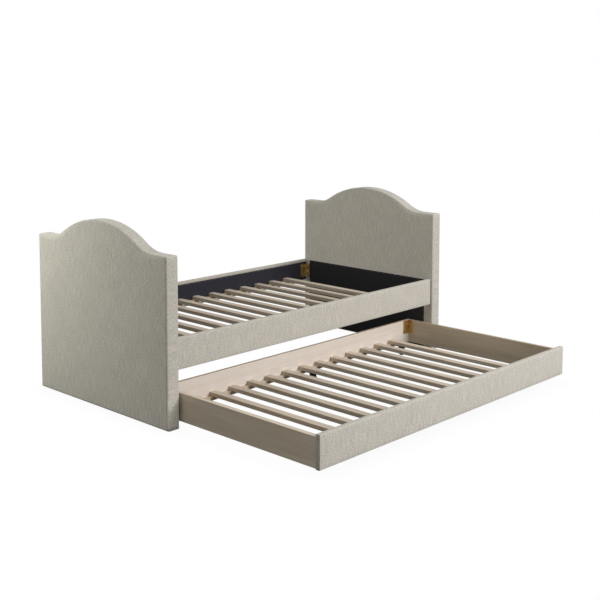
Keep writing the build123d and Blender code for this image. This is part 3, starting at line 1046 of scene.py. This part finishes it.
screw_set, set_inputs = geometry_tree(
    "set_of_screws",
    (
        ("Head", "NodeSocketObject"),
        ("Head radius", "NodeSocketFloat"),
        ("Shank radius", "NodeSocketFloat"),
        ("Shank length", "NodeSocketFloat"),
        ("Finish", "NodeSocketMaterial"),
    ),
)
head_shape = add_node(screw_set, "GeometryNodeObjectInfo", None, {"Object": set_inputs["Head"]})
head = add_node(
    screw_set,
    "GeometryNodeTransform",
    None,
    {"Geometry": head_shape.outputs["Geometry"], "Scale": set_inputs["Head radius"]},
)
shank = add_node(
    screw_set,
    "GeometryNodeMeshCylinder",
    None,
    {"Vertices": 10, "Radius": set_inputs["Shank radius"], "Depth": set_inputs["Shank length"]},
)
half_down = add_node(
    screw_set, "ShaderNodeMath", {"operation": "MULTIPLY"}, {0: set_inputs["Shank length"], 1: -0.5}
)
shank_place = add_node(screw_set, "ShaderNodeCombineXYZ", None, {"Z": half_down.outputs[0]})
hung_shank = add_node(
    screw_set,
    "GeometryNodeTransform",
    None,
    {"Geometry": shank.outputs["Mesh"], "Translation": shank_place.outputs[0]},
)
whole_screw = add_node(screw_set, "GeometryNodeJoinGeometry", None, {0: head.outputs[0]})
screw_set.links.new(hung_shank.outputs[0], whole_screw.inputs[0])
outward = add_node(
    screw_set, "GeometryNodeInputNamedAttribute", {"data_type": "FLOAT_VECTOR"}, {"Name": "facing"}
)
stood = add_node(
    screw_set,
    "FunctionNodeAlignRotationToVector",
    {"axis": "Z"},
    {"Vector": outward.outputs["Attribute"]},
)
turn = add_node(
    screw_set,
    "FunctionNodeRandomValue",
    {"data_type": "FLOAT"},
    {"Min": 0.0, "Max": math.pi / 2, "Seed": 7},
)
spin = add_node(
    screw_set,
    "FunctionNodeAxisAngleToRotation",
    None,
    {"Axis": (0.0, 0.0, 1.0), "Angle": turn.outputs["Value"]},
)
driven = add_node(
    screw_set,
    "FunctionNodeRotateRotation",
    {"rotation_space": "LOCAL"},
    {"Rotation": stood.outputs[0], "Rotate By": spin.outputs[0]},
)
placed_screws = add_node(
    screw_set,
    "GeometryNodeInstanceOnPoints",
    None,
    {
        "Points": set_inputs["Geometry"],
        "Instance": whole_screw.outputs[0],
        "Rotation": driven.outputs[0],
    },
)
real_screws = add_node(screw_set, "GeometryNodeRealizeInstances", None, {0: placed_screws.outputs[0]})
plated_screws = add_node(
    screw_set,
    "GeometryNodeSetMaterial",
    None,
    {"Geometry": real_screws.outputs[0], "Material": set_inputs["Finish"]},
)
add_node(screw_set, "NodeGroupOutput", None, {0: plated_screws.outputs[0]})

# Yellow passivated zinc again, but finer, on small heads: a duller, more even gold
screw_steel = plated_steel("yellow_plated_screw_steel", "#D3AE72", "#A8824E", 0.006, 0.4)
pan_rim = screw_head_height / screw_head_radius
pan_head = screw_head(
    "pan_head",
    [(0.72, pan_rim), (0.88, pan_rim * 0.82), (0.97, pan_rim * 0.5), (1.0, pan_rim * 0.2), (1.0, 0.0)],
)
sunk_rim = countersunk_depth / screw_head_radius
countersunk_head = screw_head("countersunk_head", [(0.97, 0.0), (1.0, -0.03), (0.5, -sunk_rim)])
for body, node in (("bed_frame", "bed_screws"), ("trundle", "trundle_screws")):
    groups = {}
    for end, facing, length in fastener_seats(node):
        groups.setdefault(round(length, 4), []).append((end, facing))
    screw_meshes = []
    longest = max(groups)
    for length, seats in groups.items():
        countersunk = length == longest
        under_head = 0.0 if countersunk else screw_head_height
        screw_meshes.append(
            grown_mesh(
                screw_set,
                [end - facing * under_head for end, facing in seats],
                [],
                [facing for end, facing in seats],
                {
                    "Head": countersunk_head if countersunk else pan_head,
                    "Head radius": screw_head_radius,
                    "Shank radius": screw_shank_radius,
                    "Shank length": length - under_head,
                    "Finish": screw_steel,
                },
            )
        )
    screws = joined_object(f"{body}_crosshead_screws", screw_meshes, screw_steel)
    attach(screws, body)
    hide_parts(node)
for template in (pan_head, countersunk_head):
    bpy.data.objects.remove(template)


# --- Casters ------------------------------------------------------------------------------------
# Rigid pressed forks screwed up into three of the slats, each with a wheel on a steel pin.
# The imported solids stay, because they turn and roll, and get their finishes.

# Steel dipped in black powder coat, which leaves a fine orange-peel surface
powder_coat = moulded("black_powder_coat", "#1B1B1C", 0.0015, 0.45)
finish_nodes(powder_coat, "caster_forks")
finish_nodes(bolt_steel, "caster_axles")

# Nylon straight from the mould: near black, with a faint grain and a soft shine
wheel_nylon = moulded("moulded_nylon", "#222223", 0.0008, 0.42)
finish_nodes(wheel_nylon, *[f"caster_wheel_{i}" for i in range(1, 7)])


# --- Stage: floor, lights and camera ------------------------------------------------------------
# A white floor and backdrop, three softboxes and one snooted lamp. The floor shows as plain white with a
# painted contact shadow, a little greyer where a piece stands on it, and gives back only a dull light.
floor_reach = 30
floor_corners = [(floor_reach * x, floor_reach * y, 0) for x, y in ((-1, -1), (1, -1), (1, 1), (-1, 1))]
floor_mesh = bpy.data.meshes.new("studio_floor")
floor_mesh.from_pydata(floor_corners, [], [(0, 1, 2, 3)])
floor = bpy.data.objects.new("studio_floor", floor_mesh)
bpy.context.scene.collection.objects.link(floor)
white_floor = bpy.data.materials.new("white_floor_paint")
white_floor.use_nodes = True
tree = white_floor.node_tree
tree.nodes.clear()
matt = add_node(tree, "ShaderNodeBsdfDiffuse", None, {"Color": (0.15, 0.15, 0.148, 1)})
# Painted contact shadow: ambient occlusion greys the floor's white glow near the pieces.
contact = add_node(tree, "ShaderNodeAmbientOcclusion", {"samples": 8}, {"Distance": 0.15}).outputs["AO"]
painted_contact_shadow = add_node(
    tree,
    "ShaderNodeMapRange",
    None,
    {"Value": contact, "From Min": 0.0, "From Max": 0.9, "To Min": 0.92, "To Max": 1.0},
).outputs[0]
lit = add_node(tree, "ShaderNodeEmission", None, {"Color": (1, 1, 1, 1), "Strength": painted_contact_shadow})
rays = add_node(tree, "ShaderNodeLightPath")
seen = add_node(
    tree,
    "ShaderNodeMixShader",
    None,
    {0: rays.outputs["Is Camera Ray"], 1: matt.outputs[0], 2: lit.outputs[0]},
)
add_node(tree, "ShaderNodeOutputMaterial", None, {0: seen.outputs[0]})
floor_mesh.materials.append(white_floor)

world = bpy.data.worlds.new("studio")
bpy.context.scene.world = world
world.use_nodes = True
tree = world.node_tree
tree.nodes.clear()
rays = add_node(tree, "ShaderNodeLightPath")
room_light = add_node(
    tree, "ShaderNodeBackground", None, {"Color": (0.995, 1.0, 0.96, 1), "Strength": 0.39}
)
backdrop = add_node(tree, "ShaderNodeBackground", None, {"Color": (1, 1, 1, 1), "Strength": 1.0})
either = add_node(
    tree,
    "ShaderNodeMixShader",
    None,
    {0: rays.outputs["Is Camera Ray"], 1: room_light.outputs[0], 2: backdrop.outputs[0]},
)
add_node(tree, "ShaderNodeOutputWorld", None, {0: either.outputs[0]})

# Each softbox: place, the point it is aimed at, width and height, watts, and tint
for name, place, aim, size, power, tint in (
    ("front_softbox", (1.7, -5.6, 3.0), (0.0, -0.4, 0.3), (3.0, 2.4), 335.0, (1.0, 0.985, 1.01)),
    ("overhead_softbox", (0.0, 0.0, 4.6), (0.0, 0.0, 0.0), (4.0, 4.0), 30.0, (1.0, 1.0, 1.0)),
    ("left_softbox", (-2.0, 1.8, 1.3), (-0.9, 0.6, 0.45), (1.2, 1.2), 29.5, (0.985, 1.0, 0.96)),
):
    softbox = bpy.data.lights.new(name, "AREA")
    softbox.shape = "RECTANGLE"
    softbox.size, softbox.size_y = size
    softbox.energy = power
    softbox.color = tint
    lamp = bpy.data.objects.new(name, softbox)
    lamp.location = place
    lamp.visible_camera = False
    lamp.rotation_euler = (Vector(aim) - Vector(place)).to_track_quat("-Z", "Y").to_euler()
    bpy.context.scene.collection.objects.link(lamp)

# The left box is flagged off the woodwork: it lights only the covered ends
flagged = bpy.data.collections.new("lit_by_left_softbox")
for side in ("left", "right"):
    flagged.objects.link(bpy.data.objects[f"{side}_end_cloth"])
bpy.data.objects["left_softbox"].light_linking.receiver_collection = flagged

# A snooted lamp, low in front, opens the shadow that the trundle casts on the left end
snoot_place = Vector((-1.03, -2.3, 0.35))
snoot_aim = Vector((-1.03, -0.1, -0.05))
snoot = bpy.data.lights.new("low_snoot", "SPOT")
snoot.energy = 40.0
snoot.spot_size = math.radians(15)
snoot.spot_blend = 1.0
snoot.shadow_soft_size = 0.1
low_lamp = bpy.data.objects.new("low_snoot", snoot)
low_lamp.location = snoot_place
low_lamp.rotation_euler = (snoot_aim - snoot_place).to_track_quat("-Z", "Y").to_euler()
bpy.context.scene.collection.objects.link(low_lamp)
lit_low = bpy.data.collections.new("lit_by_low_snoot")
lit_low.objects.link(bpy.data.objects["left_end_cloth"])
low_lamp.light_linking.receiver_collection = lit_low

# The camera stands off the front left corner, above the ends, and looks slightly down. Its
# shift sets the bed in the frame and keeps the uprights nearly parallel.
view_yaw = math.radians(44.01)
view_pitch = math.radians(5.089)
lens = bpy.data.cameras.new("camera")
lens.lens = 63.072
lens.sensor_width = 36.0
lens.shift_x = 0.0168
lens.shift_y = -0.22
camera = bpy.data.objects.new("camera", lens)
camera.location = (-4.076, -3.787, 1.6547)
look = Vector(
    (
        math.cos(view_yaw) * math.cos(view_pitch),
        math.sin(view_yaw) * math.cos(view_pitch),
        -math.sin(view_pitch),
    )
)
camera.rotation_euler = look.to_track_quat("-Z", "Y").to_euler()
bpy.context.scene.collection.objects.link(camera)
bpy.context.scene.camera = camera
bpy.context.scene.view_settings.view_transform = "Standard"
